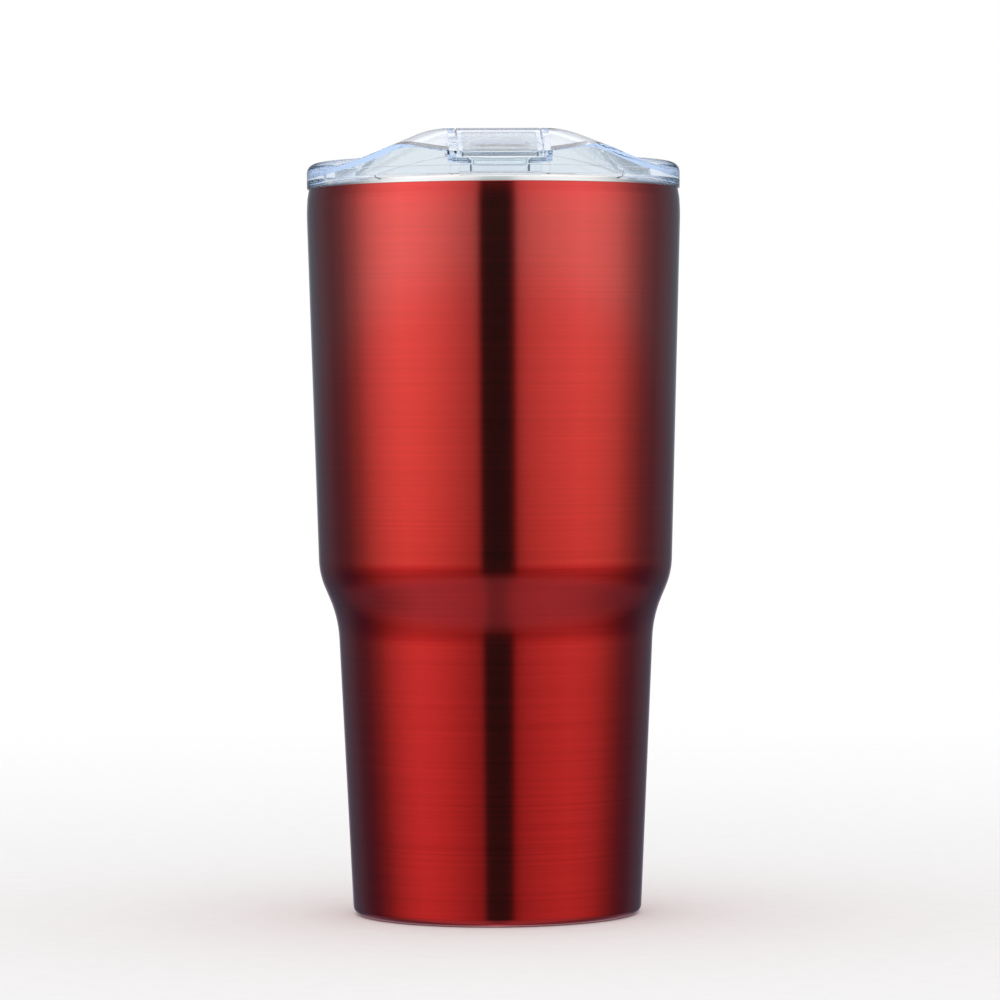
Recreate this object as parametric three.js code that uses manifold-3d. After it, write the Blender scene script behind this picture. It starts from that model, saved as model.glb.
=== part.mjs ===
// An insulated tumbler: a double-walled steel cup with a stepped side, and a clear push-in lid
// whose raised spout is closed by a flip tab.
// Millimetres, +Z up. The origin is on the table, on the cup's axis, and the spout faces -Y.
import * as THREE from "three";
import { mergeVertices } from "three/addons/utils/BufferGeometryUtils.js";
import Module from "manifold-3d";

const wasm = await Module();
wasm.setup();

// ---- cup: overall sizes and the stepped side -------------------------------------------------
const CUP_HEIGHT = 187; // table to the top of the steel lip
const MOUTH_RADIUS = 47.7; // widest outside radius, a little under the lip
const MOUTH_DROP = 6; // how far under the shell's edge it is widest
const MOUTH_FILLET = 60; // slow rounding over the widest place
const MOUTH_TAPER = 0.2; // how much the side has drawn in again above it
const MOUTH_EDGE = 2.4; // height under the shell's edge where it turns in further
const MOUTH_EDGE_FILLET = 6;
const UPPER_DRAFT = 2.65; // how much the upper side draws in on its way down
const SHOULDER_TOP = 86.8; // height where the upper side meets the shoulder
const SHOULDER_STEP = 4.75; // how much the shoulder draws in
const SHOULDER_DROP = 11.2; // height of the shoulder
const LOWER_DRAFT = 3.5; // how much the lower side draws in
const SHOULDER_TOP_FILLET = 20;
const SHOULDER_BOTTOM_FILLET = 30;
const FOOT_FILLET = 2.2; // outside rounding at the table
const FOOT_WIDTH = 3.8; // width of the ring that stands on the table, rounding included

// ---- cup: walls ------------------------------------------------------------------------------
const SHELL_WALL = 0.6; // outer steel sheet
const LINER_WALL = 0.5; // inner steel sheet
const VACUUM_GAP = 2.7; // between the two sheets
const LIP_HEIGHT = 1.95; // bare steel roll above the painted shell
const LIP_LEAN = 0.55; // how far the roll's outside leans in
const LIP_FILLET = 1.8;
const WELD_GAP = 0.05; // between two edges that are welded
const LID_SEAT_DEPTH = 19; // straight stretch of the liner that the lid's seal wipes
const LID_SEAT_FILLET = 8;
const LINER_FLOOR = 9; // height of the liner's inside floor
const LINER_SEAM = 20; // height of the weld between liner wall and liner floor
const LINER_FLOOR_FILLET = 9;
const FOIL_WALL = 0.15;
const FOIL_GAP = 0.3; // foil to liner
const FOIL_BOTTOM = 25;
const FOIL_TOP_MARGIN = 25; // bare liner between the foil and the lip

// ---- cup: base -------------------------------------------------------------------------------
const FOOT_RISE = 3; // height of the shell's turned-up inner edge
const BASE_WALL = 0.8;
const BASE_LAP = 1.8; // how far the base plate reaches over the turned-up edge
const DIMPLE_RADIUS = 7;
const DIMPLE_RISE = 1.5;
const PUMP_HOLE_RADIUS = 1.1;
const BEAD_RADIUS = 3.2;
const BEAD_HEIGHT = 1.1;
const GETTER_RADIUS = 4.5;
const GETTER_HEIGHT = 1.2;
const GETTER_CUP_WALL = 0.4;
const GETTER_OFFSET = 19; // getter's distance from the cup's axis
const COVER_WALL = 0.6;
const COVER_RECESS = 0.8; // cover's height over the table
const COVER_RIM = 1.9;
const COVER_CLEARANCE = 0.15;

// ---- lid: ring, deck and plug ----------------------------------------------------------------
const LID_OVERHANG = -0.1; // lid's radius less the cup's widest radius
const LID_RING_HEIGHT = 4.5; // top of the ring over the steel lip
const LID_RING_FILLET = 2.6;
const LID_RING_WIDTH = 5; // flat top of the ring plus its rounding
const LID_SEAT_GAP = 0.1; // ring's underside over the steel lip
const SKIRT_CLEARANCE = 0.15;
const SKIRT_DROP = 1.9; // how far the skirt hangs below the top of the lip
const SKIRT_RELIEF = 1.7; // how much shorter the skirt is at the front
const DECK_RECESS = 2; // deck's depth below the ring
const DECK_WALL = 2;
const PLUG_DEPTH = 12.5; // plug's reach below the top of the lip
const PLUG_WALL = 2.4;
const PLUG_CLEARANCE = 0.9; // plug to liner
const VENT_RADIUS = 1.3;
const VENT_OFFSET = 30;

// ---- lid: gasket -----------------------------------------------------------------------------
const GROOVE_DEPTH = 1;
const GROOVE_HEIGHT = 3.6;
const GROOVE_DROP = 9.4; // lower edge of the groove below the top of the lip
const GASKET_PLAY = 0.15; // gasket to groove
const WIPER_CLEARANCE = 0.12; // wiper lips to liner
const WIPER_HEIGHT = 1.1;

// ---- lid: raised spout -----------------------------------------------------------------------
const SPOUT_RISE = 7.4; // spout's top over the ring's top
const SPOUT_TOP_HALF = 17; // half width of its flat top before rounding
const SPOUT_FOOT_HALF = 32.5; // half width where it meets the ring's top
const SPOUT_TOP_FILLET = 14;
const SPOUT_WALL = 1.8;
const SPOUT_FRONT_RISE = 0.3; // front edge of the slope over the ring's top
const SPOUT_SLOPE_LENGTH = 17.2; // plan length of the front slope
const SPOUT_BACK = 44.6; // front of the lid to the end of the flat top
const SPOUT_BACK_LENGTH = 21; // plan length of the back slope
const SPOUT_CREST_FILLET = 9;
const ALCOVE_DEPTH = 1.3; // lip recess in the ring's front wall
const ALCOVE_HALF = 30.6;
const ALCOVE_RISE = 5;
const ALCOVE_CREST = 0.45; // top of the recess over the top of the ring
const HOLLOW_MARGIN = 4.4; // outside of the lid to the hollow under the spout
const SPOUT_SILL = 2; // material between the hollow and the ring's seat

// ---- flip tab --------------------------------------------------------------------------------
const TAB_HALF = 10.35;
const TAB_WALL = 2;
const TAB_SIDE_GAP = 0.45;
const TAB_UNDER_GAP = 0.35;
const TAB_INSET = 0.4; // tab's front behind the ring's outside
const TAB_FOOT_GAP = 0.3; // tab's lower edge over the top of the steel lip
const NOTCH_WIDTH = 1.5; // finger notches beside the tab's lower corners
const NOTCH_HEIGHT = 2.6;
const HINGE_BACK = 41.6; // front of the lid to the hinge axis
const BARREL_RADIUS = 1.8;
const BARREL_GAP = 0.4;
const TRUNNION_RADIUS = 1.25;
const TRUNNION_LENGTH = 1.7;
const TRUNNION_CLEARANCE = 0.2;
const HOLE_HALF = 7.5; // drinking hole
const HOLE_LENGTH = 5.4;
const HOLE_BACK = 9.1; // front of the lid to the middle of the hole
const SEAL_CLEARANCE = 0.5;
const SEAL_DEPTH = 5.4; // seal's lowest point below the tab's outside
const SEAL_PAD_HALF = 9.2; // the seal's pad, which lines the underside of the tab's slope
const SEAL_PAD_LENGTH = 12.4;
const SEAL_PAD_SHIFT = 0.7; // middle of the pad behind the middle of the hole
const SEAL_PAD_HEIGHT = 0.7;

// ---- smoothness ------------------------------------------------------------------------------
const SEGMENTS = 48;
const PIN_SEGMENTS = 16;
const ARC_STEPS = 3;

// ---- worked-out sizes ------------------------------------------------------------------------
const shellTop = CUP_HEIGHT - LIP_HEIGHT - WELD_GAP;
const shoulderBottom = SHOULDER_TOP - SHOULDER_DROP;
const shoulderTopRadius = MOUTH_RADIUS - UPPER_DRAFT;
const shoulderBottomRadius = shoulderTopRadius - SHOULDER_STEP;
const footRadius = shoulderBottomRadius - LOWER_DRAFT;
const footInner = footRadius - FOOT_WIDTH;
const lipOutside = MOUTH_RADIUS - 0.75;
const linerInset = SHELL_WALL + VACUUM_GAP + LINER_WALL;
const boreRadius = MOUTH_RADIUS - linerInset;

const lidRadius = MOUTH_RADIUS + LID_OVERHANG;
const ringTop = CUP_HEIGHT + LID_RING_HEIGHT;
const ringSeat = CUP_HEIGHT + LID_SEAT_GAP;
const skirtBottom = CUP_HEIGHT - SKIRT_DROP;
const deckTop = ringTop - DECK_RECESS;
const deckBottom = deckTop - DECK_WALL;
const plugRadius = boreRadius - PLUG_CLEARANCE;
const plugBottom = CUP_HEIGHT - PLUG_DEPTH;
const grooveRadius = plugRadius - GROOVE_DEPTH;
const grooveBottom = CUP_HEIGHT - GROOVE_DROP;
const spoutTop = ringTop + SPOUT_RISE;
const hingeY = HINGE_BACK - lidRadius;
const hingeZ = spoutTop - BARREL_RADIUS;
const holeY = HOLE_BACK - lidRadius;
const tabFrontRadius = lidRadius - TAB_INSET;
const tabBackRadius = tabFrontRadius - TAB_WALL;

// ---- helpers ---------------------------------------------------------------------------------

// Points of an outline given as [x, y] or [x, y, fillet], with each fillet as an arc.
function outline(corners) {
  const points = [];
  corners.forEach(([x, y, fillet], i) => {
    const here = new THREE.Vector2(x, y);
    if (!fillet) {
      points.push(here);
      return;
    }
    const before = corners[(i + corners.length - 1) % corners.length];
    const after = corners[(i + 1) % corners.length];
    const inward = new THREE.Vector2(before[0] - x, before[1] - y);
    const outward = new THREE.Vector2(after[0] - x, after[1] - y);
    const room = 0.49 * Math.min(inward.length(), outward.length());
    inward.normalize();
    outward.normalize();
    const half = Math.acos(THREE.MathUtils.clamp(inward.dot(outward), -1, 1)) / 2;
    const tangent = Math.min(fillet / Math.tan(half), room);
    const radius = tangent * Math.tan(half);
    const middle = inward.clone().add(outward).normalize();
    const centre = here.clone().addScaledVector(middle, radius / Math.sin(half));
    const first = here.clone().addScaledVector(inward, tangent).sub(centre);
    const last = here.clone().addScaledVector(outward, tangent).sub(centre);
    const turn = Math.atan2(first.cross(last), first.dot(last));
    for (let k = 0; k <= ARC_STEPS; k++) {
      const spoke = first.clone().rotateAround(new THREE.Vector2(), (turn * k) / ARC_STEPS);
      points.push(centre.clone().add(spoke));
    }
  });
  return points;
}

// A solid of revolution about Z; a ring's outline is closed on itself.
function turned(corners, { ring = false, segments = SEGMENTS } = {}) {
  const points = outline(corners);
  if (ring) points.push(points[0].clone());
  return new THREE.LatheGeometry(points, segments).rotateX(Math.PI / 2);
}

const ALONG_X = new THREE.Matrix4().makeBasis(
  new THREE.Vector3(0, 1, 0),
  new THREE.Vector3(0, 0, 1),
  new THREE.Vector3(1, 0, 0),
);
const ALONG_Y = new THREE.Matrix4().makeBasis(
  new THREE.Vector3(1, 0, 0),
  new THREE.Vector3(0, 0, 1),
  new THREE.Vector3(0, -1, 0),
);

function extruded(corners, depth) {
  return new THREE.ExtrudeGeometry(new THREE.Shape(outline(corners)), {
    depth,
    bevelEnabled: false,
    steps: 1,
  });
}

// A side outline of [y, z] corners, carried from x = -half to x = half.
function acrossX(corners, half) {
  return extruded(corners, 2 * half).translate(0, 0, -half).applyMatrix4(ALONG_X);
}

// A front outline of [x, z] corners, carried from y = back to y = front (front is the lower y).
function acrossY(corners, front, back) {
  return extruded(corners, back - front).applyMatrix4(ALONG_Y).translate(0, back, 0);
}

// A plan outline of [x, y] corners, carried from z = bottom to z = top.
function upwards(corners, bottom, top) {
  return extruded(corners, top - bottom).translate(0, 0, bottom);
}

function disc(radius, bottom, top, segments = SEGMENTS) {
  return turned([[0, bottom], [radius, bottom], [radius, top], [0, top]], { segments });
}

// A closed geometry as a manifold-3d solid.
function solid(geometry) {
  const bare = geometry.index ? geometry.toNonIndexed() : geometry.clone();
  bare.deleteAttribute("normal");
  bare.deleteAttribute("uv");
  const merged = mergeVertices(bare, 1e-4);
  const corners = Array.from(merged.index.array);
  const kept = [];
  for (let i = 0; i < corners.length; i += 3) {
    const [a, b, c] = corners.slice(i, i + 3);
    if (a !== b && b !== c && c !== a) kept.push(a, b, c);
  }
  return new wasm.Manifold(
    new wasm.Mesh({
      numProp: 3,
      vertProperties: merged.attributes.position.array,
      triVerts: new Uint32Array(kept),
    }),
  );
}

function geometryOf(made) {
  const { vertProperties, triVerts } = made.getMesh();
  const geometry = new THREE.BufferGeometry();
  geometry.setAttribute("position", new THREE.BufferAttribute(vertProperties, 3));
  geometry.setIndex(new THREE.BufferAttribute(triVerts, 1));
  return geometry;
}

const object = new THREE.Group();

function add(name, geometry, look, parent = object) {
  const mesh = new THREE.Mesh(geometry, new THREE.MeshStandardMaterial(look));
  mesh.name = name;
  parent.add(mesh);
  return mesh;
}

const RED_LACQUER = { color: 0xb3262a, roughness: 0.28, metalness: 1 };
const BARE_STEEL = { color: 0xc9cbcd, roughness: 0.3, metalness: 1 };
const FOIL = { color: 0xc77b4a, roughness: 0.35, metalness: 1 };
const CLEAR_PLASTIC = { color: 0xdfeafa, roughness: 0.05, transparent: true, opacity: 0.35 };
const SILICONE = { color: 0xe8ecef, roughness: 0.6 };
const GLASS_SOLDER = { color: 0x4a4f52, roughness: 0.4 };
const GETTER_METAL = { color: 0x8a8a88, roughness: 0.7, metalness: 1 };

// ---- outer shell -----------------------------------------------------------------------------

// Corners of the cup's side from the foot to the top of the shell, moved in by an inset.
function side(inset) {
  return [
    [shoulderBottomRadius - inset, shoulderBottom, SHOULDER_BOTTOM_FILLET + inset],
    [shoulderTopRadius - inset, SHOULDER_TOP, SHOULDER_TOP_FILLET - inset],
    [MOUTH_RADIUS - inset, shellTop - MOUTH_DROP, MOUTH_FILLET - inset],
    [MOUTH_RADIUS - MOUTH_TAPER - inset, shellTop - MOUTH_EDGE, MOUTH_EDGE_FILLET - inset],
  ];
}

const shellLip = lipOutside + 0.15;
const outsideUp = [
  [footInner, 0],
  [footRadius, 0, FOOT_FILLET],
  ...side(0),
  [shellLip, shellTop],
];
const insideDown = [
  [shellLip - SHELL_WALL, shellTop],
  ...side(SHELL_WALL).reverse(),
  [footRadius - SHELL_WALL, SHELL_WALL, FOOT_FILLET - SHELL_WALL],
  [footInner + SHELL_WALL, SHELL_WALL],
  [footInner + SHELL_WALL, FOOT_RISE],
  [footInner, FOOT_RISE],
];
add("outer_shell", turned([...outsideUp, ...insideDown], { ring: true }), RED_LACQUER);

// ---- liner: the inner steel wall, rolled outwards into the bare lip -----------------------------

const seatBottom = CUP_HEIGHT - LID_SEAT_DEPTH;
function linerWall(inset) {
  const [low, high] = side(linerInset - inset);
  return [
    [linerRadiusAt(LINER_SEAM) + inset, LINER_SEAM],
    low,
    high,
    [boreRadius + inset, seatBottom, LID_SEAT_FILLET],
  ];
}

// Inside radius of the liner below the shoulder.
function linerRadiusAt(height) {
  const share = height / shoulderBottom;
  return THREE.MathUtils.lerp(footRadius, shoulderBottomRadius, share) - linerInset;
}

const lipTopRadius = lipOutside - LIP_LEAN;
const lipFoot = CUP_HEIGHT - LIP_HEIGHT;
const innerLipFillet = 1;
const linerProfile = [
  ...linerWall(LINER_WALL),
  [boreRadius + LINER_WALL, CUP_HEIGHT - LINER_WALL, innerLipFillet - LINER_WALL],
  [lipTopRadius - LINER_WALL, CUP_HEIGHT - LINER_WALL, LIP_FILLET - LINER_WALL],
  [lipOutside - LINER_WALL, lipFoot],
  [lipOutside, lipFoot],
  [lipTopRadius, CUP_HEIGHT, LIP_FILLET],
  [boreRadius, CUP_HEIGHT, innerLipFillet],
  ...linerWall(0).reverse(),
];
add("liner", turned(linerProfile, { ring: true }), BARE_STEEL);

// ---- liner floor, welded to the liner wall ------------------------------------------------------

const floorRim = LINER_SEAM - WELD_GAP;
const floorRimRadius = linerRadiusAt(floorRim);
const floorCorner = linerRadiusAt(LINER_FLOOR);
const floorProfile = [
  [0, LINER_FLOOR - LINER_WALL],
  [floorCorner + LINER_WALL, LINER_FLOOR - LINER_WALL, LINER_FLOOR_FILLET + LINER_WALL],
  [floorRimRadius + LINER_WALL, floorRim],
  [floorRimRadius, floorRim],
  [floorCorner, LINER_FLOOR, LINER_FLOOR_FILLET],
  [0, LINER_FLOOR],
];
add("liner_floor", turned(floorProfile), BARE_STEEL);

// ---- foil: reflects heat back into the liner ----------------------------------------------------

const foilTop = CUP_HEIGHT - FOIL_TOP_MARGIN;
function foilWall(offset) {
  const out = LINER_WALL + FOIL_GAP + offset;
  const [low, high] = side(linerInset - out);
  const rise = (foilTop - SHOULDER_TOP) / (seatBottom - SHOULDER_TOP);
  const topRadius = THREE.MathUtils.lerp(shoulderTopRadius - linerInset, boreRadius, rise);
  return [
    [linerRadiusAt(FOIL_BOTTOM) + out, FOIL_BOTTOM],
    low,
    high,
    [topRadius + out, foilTop],
  ];
}
const foilProfile = [...foilWall(FOIL_WALL), ...foilWall(0).reverse()];
add("heat_foil", turned(foilProfile, { ring: true }), FOIL);

// ---- base: the plate that closes the vacuum, its sealed pump hole, the getter and the cover -------

const plateBottom = FOOT_RISE + WELD_GAP;
const plateTop = plateBottom + BASE_WALL;
const dimpleWall = DIMPLE_RADIUS + BASE_WALL;
const plateRadius = footInner + BASE_LAP;
const plateProfile = [
  [PUMP_HOLE_RADIUS, plateBottom + DIMPLE_RISE],
  [DIMPLE_RADIUS, plateBottom + DIMPLE_RISE],
  [dimpleWall, plateBottom],
  [plateRadius, plateBottom],
  [plateRadius, plateTop],
  [dimpleWall, plateTop],
  [DIMPLE_RADIUS, plateTop + DIMPLE_RISE],
  [PUMP_HOLE_RADIUS, plateTop + DIMPLE_RISE],
];
add("base_plate", turned(plateProfile, { ring: true }), BARE_STEEL);

const beadTop = plateBottom + DIMPLE_RISE - WELD_GAP;
const beadProfile = [
  [0, beadTop - BEAD_HEIGHT],
  [BEAD_RADIUS, beadTop - BEAD_HEIGHT, BEAD_HEIGHT],
  [BEAD_RADIUS, beadTop],
  [0, beadTop],
];
add("pump_hole_bead", turned(beadProfile, { segments: PIN_SEGMENTS }), GLASS_SOLDER);

const getter = new THREE.Group();
getter.position.set(GETTER_OFFSET, 0, plateTop + WELD_GAP);
object.add(getter);
const getterCupRadius = GETTER_RADIUS + GETTER_CUP_WALL + WELD_GAP;
const getterCup = [
  [0, 0],
  [getterCupRadius, 0],
  [getterCupRadius, GETTER_HEIGHT],
  [GETTER_RADIUS + WELD_GAP, GETTER_HEIGHT],
  [GETTER_RADIUS + WELD_GAP, GETTER_CUP_WALL],
  [0, GETTER_CUP_WALL],
];
const pinRound = { segments: PIN_SEGMENTS };
add("getter_cup", turned(getterCup, pinRound), BARE_STEEL, getter);
const pelletBottom = GETTER_CUP_WALL + WELD_GAP;
const pellet = disc(GETTER_RADIUS, pelletBottom, pelletBottom + GETTER_HEIGHT, PIN_SEGMENTS);
add("getter_pellet", pellet, GETTER_METAL, getter);

const coverRadius = footInner - COVER_CLEARANCE;
const coverTop = COVER_RECESS + COVER_WALL;
const coverProfile = [
  [0, COVER_RECESS],
  [coverRadius, COVER_RECESS, 1],
  [coverRadius, COVER_RECESS + COVER_RIM],
  [coverRadius - COVER_WALL, COVER_RECESS + COVER_RIM],
  [coverRadius - COVER_WALL, coverTop],
  [0, coverTop],
];
add("base_cover", turned(coverProfile), BARE_STEEL);

// ---- lid body -----------------------------------------------------------------------------------

const deckEdge = lidRadius - LID_RING_WIDTH;
const lidProfile = [
  [0, deckBottom],
  [plugRadius - PLUG_WALL, deckBottom, 1.2],
  [plugRadius - PLUG_WALL, plugBottom],
  [plugRadius, plugBottom, 0.8],
  [plugRadius, grooveBottom],
  [grooveRadius, grooveBottom],
  [grooveRadius, grooveBottom + GROOVE_HEIGHT],
  [plugRadius, grooveBottom + GROOVE_HEIGHT],
  [plugRadius, ringSeat],
  [lipTopRadius + SKIRT_CLEARANCE, ringSeat, LIP_FILLET / 2],
  [lipOutside + SKIRT_CLEARANCE, skirtBottom],
  [lidRadius, skirtBottom],
  [lidRadius, ringTop, LID_RING_FILLET],
  [deckEdge, ringTop, 0.8],
  [deckEdge - DECK_RECESS / 2, deckTop, 0.8],
  [0, deckTop],
];

// Side outline of the spout, moved in by an inset and closed at the deck's underside.
const slopeFoot = ringTop + SPOUT_FRONT_RISE;
const slopeRise = (spoutTop - slopeFoot) / SPOUT_SLOPE_LENGTH;
function spoutSide(inset, floor) {
  const lower = inset * Math.hypot(1, slopeRise);
  const backRise = (spoutTop - deckTop) / SPOUT_BACK_LENGTH;
  const backLower = inset * Math.hypot(1, backRise);
  const top = spoutTop - inset;
  const front = -lidRadius;
  const crest = front + SPOUT_SLOPE_LENGTH + (lower - inset) / slopeRise;
  const backCrest = front + SPOUT_BACK - (backLower - inset) / backRise;
  return [
    [front - 1, floor],
    [front - 1, slopeFoot - lower - slopeRise],
    [crest, top, SPOUT_CREST_FILLET],
    [backCrest, top, SPOUT_CREST_FILLET],
    [backCrest + (top - floor) / backRise, floor],
  ];
}

// Front outline of the spout, moved in by an inset.
function spoutFront(inset, floor) {
  const flank = SPOUT_RISE / (SPOUT_FOOT_HALF - SPOUT_TOP_HALF);
  const narrower = inset * (Math.hypot(1, flank) - 1) / flank;
  const topHalf = SPOUT_TOP_HALF - narrower;
  const top = spoutTop - inset;
  const footHalf = topHalf + (top - floor) / flank;
  return [
    [-footHalf, floor],
    [footHalf, floor],
    [topHalf, top, SPOUT_TOP_FILLET],
    [-topHalf, top, SPOUT_TOP_FILLET],
  ];
}

function spoutBlock(inset, floor, radius) {
  const reach = lidRadius + 2;
  const fromSide = solid(acrossX(spoutSide(inset, plugBottom), reach));
  const fromFront = solid(acrossY(spoutFront(inset, plugBottom), -reach, reach));
  return fromSide.intersect(fromFront).intersect(solid(disc(radius, floor, spoutTop + 1)));
}

// Floor of the tab's channel, as the top of a side outline, lowered by a depth.
function channelFloor(depth) {
  const lower = depth * Math.hypot(1, slopeRise);
  const front = -lidRadius;
  const crest = front + SPOUT_SLOPE_LENGTH + (lower - depth) / slopeRise;
  const pocket = hingeZ - BARREL_RADIUS - BARREL_GAP - (depth - channelDepth);
  const pocketFront = hingeY - BARREL_RADIUS - 1.2 - (depth - channelDepth);
  return [
    [front - 1, slopeFoot - lower - slopeRise],
    [crest, spoutTop - depth, SPOUT_CREST_FILLET],
    [pocketFront, spoutTop - depth],
    [pocketFront, pocket],
    [front + SPOUT_BACK + SPOUT_BACK_LENGTH, pocket],
  ];
}

const channelDepth = TAB_WALL + TAB_UNDER_GAP;
const channelHalf = TAB_HALF + TAB_SIDE_GAP;
const above = spoutTop + 5;
function channelBlock(depth, half) {
  const floor = channelFloor(depth);
  const back = floor[floor.length - 1][0];
  return solid(acrossX([...floor, [back, above], [-lidRadius - 1, above]], half));
}

const ringOutside = disc(lidRadius + 3, skirtBottom - 2, above);
function outsideOf(radius) {
  return solid(ringOutside).subtract(solid(disc(radius, skirtBottom - 3, above + 1)));
}

function alcove() {
  const arcRadius = (ALCOVE_HALF ** 2 + ALCOVE_RISE ** 2) / (2 * ALCOVE_RISE);
  const arcCentre = ringTop + ALCOVE_CREST - arcRadius;
  const half = Math.asin(ALCOVE_HALF / arcRadius);
  const arc = Array.from({ length: 13 }, (_, k) => {
    const turn = half * (1 - k / 6);
    return [arcRadius * Math.sin(turn), arcCentre + arcRadius * Math.cos(turn)];
  });
  const low = skirtBottom - 1;
  const block = acrossY([[-ALCOVE_HALF, low], [ALCOVE_HALF, low], ...arc], -lidRadius - 2, 0);
  return solid(block).intersect(outsideOf(lidRadius - ALCOVE_DEPTH));
}

// The wedge that shortens the skirt towards the front.
function skirtWedge() {
  const front = -lidRadius - 2;
  const rise = (SKIRT_RELIEF * -front) / lidRadius;
  const corners = [[0, skirtBottom], [front, skirtBottom + rise], [front, skirtBottom - 1]];
  return solid(acrossX(corners, lidRadius + 2));
}

// Where the tab's front wall hangs, with a finger notch at each lower corner.
function tabFrontGap() {
  const low = skirtBottom - 1;
  const notchTop = ringSeat + NOTCH_HEIGHT;
  const gap = [[-channelHalf, low], [channelHalf, low], [channelHalf, above], [-channelHalf, above]];
  const half = channelHalf + NOTCH_WIDTH;
  const notch = [[-half, low], [half, low], [half, notchTop], [-half, notchTop]];
  const front = -lidRadius - 2;
  const outside = outsideOf(tabBackRadius - TAB_UNDER_GAP);
  const middle = solid(acrossY(gap, front, -lidRadius / 2));
  return middle.add(solid(acrossY(notch, front, -lidRadius / 2))).intersect(outside);
}

// A rounded slot in plan, centred on the drinking hole.
function holeSlot(margin, bottom, top) {
  const half = HOLE_HALF - margin;
  const deep = HOLE_LENGTH / 2 - margin;
  const round = deep * 0.95;
  const corners = [
    [-half, holeY - deep, round],
    [half, holeY - deep, round],
    [half, holeY + deep, round],
    [-half, holeY + deep, round],
  ];
  return solid(upwards(corners, bottom, top));
}

function trunnions(radius, length) {
  const rod = disc(radius, -TAB_HALF - length, TAB_HALF + length, PIN_SEGMENTS);
  return solid(rod.rotateY(Math.PI / 2).translate(0, hingeY, hingeZ));
}

const lidHalf = spoutBlock(0, deckTop - DECK_WALL / 2, lidRadius);
const hollow = spoutBlock(SPOUT_WALL, ringSeat + SPOUT_SILL, lidRadius - HOLLOW_MARGIN);
const throat = spoutBlock(SPOUT_WALL, deckBottom - 1, plugRadius - PLUG_WALL);
const channelWalls = channelBlock(channelDepth + SPOUT_WALL, channelHalf + SPOUT_WALL);
const vent = disc(VENT_RADIUS, deckBottom - 1, deckTop + 1, PIN_SEGMENTS);
const lidBody = solid(turned(lidProfile))
  .add(lidHalf)
  .subtract(hollow.add(throat).subtract(channelWalls))
  .subtract(channelBlock(channelDepth, channelHalf))
  .subtract(tabFrontGap())
  .subtract(alcove())
  .subtract(skirtWedge())
  .subtract(holeSlot(0, deckBottom, spoutTop))
  .subtract(trunnions(TRUNNION_RADIUS + TRUNNION_CLEARANCE, TRUNNION_LENGTH + TRUNNION_CLEARANCE))
  .subtract(solid(vent.translate(0, VENT_OFFSET, 0)));
add("lid_body", geometryOf(lidBody), CLEAR_PLASTIC);

// ---- lid gasket: a silicone ring with two wiper lips ----------------------------------------------

const gasketInner = grooveRadius + GASKET_PLAY;
const gasketBottom = grooveBottom + GASKET_PLAY;
const gasketTop = grooveBottom + GROOVE_HEIGHT - GASKET_PLAY;
const wiperRadius = boreRadius - WIPER_CLEARANCE;
const gasketBody = plugRadius + 0.1;
const gasketProfile = [
  [gasketInner, gasketBottom],
  [gasketBody, gasketBottom],
  [wiperRadius, gasketBottom + WIPER_HEIGHT],
  [gasketBody, gasketBottom + WIPER_HEIGHT + 0.3],
  [gasketBody, gasketTop - WIPER_HEIGHT],
  [wiperRadius, gasketTop - 0.3],
  [gasketBody, gasketTop],
  [gasketInner, gasketTop],
];
add("lid_gasket", turned(gasketProfile, { ring: true }), SILICONE);

// ---- flip tab ---------------------------------------------------------------------------------------

// Side outline of the tab's plate from its front wall to the hinge, moved in by an inset.
function tabSide(inset, floor, back) {
  const lower = inset * Math.hypot(1, slopeRise);
  const front = -lidRadius;
  const crest = front + SPOUT_SLOPE_LENGTH + (lower - inset) / slopeRise;
  return [
    [front - 1, floor],
    [front - 1, slopeFoot - lower - slopeRise],
    [crest, spoutTop - inset, SPOUT_CREST_FILLET],
    [back, spoutTop - inset],
    [back, floor],
  ];
}

const tabFoot = CUP_HEIGHT + TAB_FOOT_GAP;
const tabBlock = solid(acrossX(tabSide(0, tabFoot, hingeY), TAB_HALF));
const tabUnder = solid(acrossX(tabSide(TAB_WALL, tabFoot - 1, hingeY + 1), TAB_HALF + 1));
const tabOutside = solid(disc(tabFrontRadius, tabFoot - 2, above));
const tabInside = solid(disc(tabBackRadius, tabFoot - 2, above));
const barrel = solid(
  disc(BARREL_RADIUS, -TAB_HALF, TAB_HALF, PIN_SEGMENTS)
    .rotateY(Math.PI / 2)
    .translate(0, hingeY, hingeZ),
);
const tabPlate = tabBlock.intersect(tabOutside).subtract(tabUnder.intersect(tabInside));

// The seal's pad sits in a pocket in the underside of the tab's slope.
const pocketGap = 0.1;
function slopeLayer(from, to, grow) {
  const outer = solid(acrossX(tabSide(from, deckBottom - 2, hingeY), TAB_HALF + 1));
  const inner = solid(acrossX(tabSide(to, deckBottom - 3, hingeY + 1), TAB_HALF + 2));
  const half = SEAL_PAD_HALF + grow;
  const middle = holeY + SEAL_PAD_SHIFT;
  const reach = SEAL_PAD_LENGTH / 2 + grow;
  const corners = [
    [-half, middle - reach, 1],
    [half, middle - reach, 1],
    [half, middle + reach, 1],
    [-half, middle + reach, 1],
  ];
  return outer.subtract(inner).intersect(solid(upwards(corners, deckBottom - 2, above)));
}
const padTop = TAB_WALL - SEAL_PAD_HEIGHT;
const tab = tabPlate
  .add(barrel)
  .add(trunnions(TRUNNION_RADIUS, TRUNNION_LENGTH))
  .subtract(slopeLayer(padTop - pocketGap, TAB_WALL + 1, pocketGap));
add("flip_tab", geometryOf(tab), CLEAR_PLASTIC);

// ---- tab seal: a silicone plug that fills the drinking hole -------------------------------------------

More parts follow.
